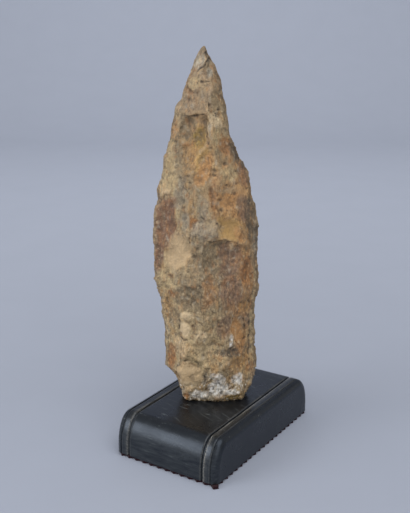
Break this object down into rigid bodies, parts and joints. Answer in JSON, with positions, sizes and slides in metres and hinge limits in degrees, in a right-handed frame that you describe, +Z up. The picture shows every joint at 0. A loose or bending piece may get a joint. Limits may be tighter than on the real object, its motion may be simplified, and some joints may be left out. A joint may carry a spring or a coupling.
{
  "type": "chipped stone axe on a plinth",
  "caption": "A pointed chipped stone axe standing on its blunt butt on a black wooden plinth with rounded ends, beaded sides and pinked red felt underneath",
  "frame": {"origin": "The middle of the felt's underside, which is the surface that the part stands on.", "axes": "+Z points up to the stone's point, +Y runs along the plinth's length and +X across it. The stone's broad face is turned 33 degrees about Z from the plinth's +X."},
  "size_m": [0.0668, 0.107, 0.2229],
  "materials": {
    "chipped_stone": "matte",
    "ebonised_wood": "satin",
    "red_felt": "matte"
  },
  "bodies": {
    "root": {"stone_axe": "chipped_stone", "plinth": "ebonised_wood", "felt_pad": "red_felt"}
  },
  "joints": []
}
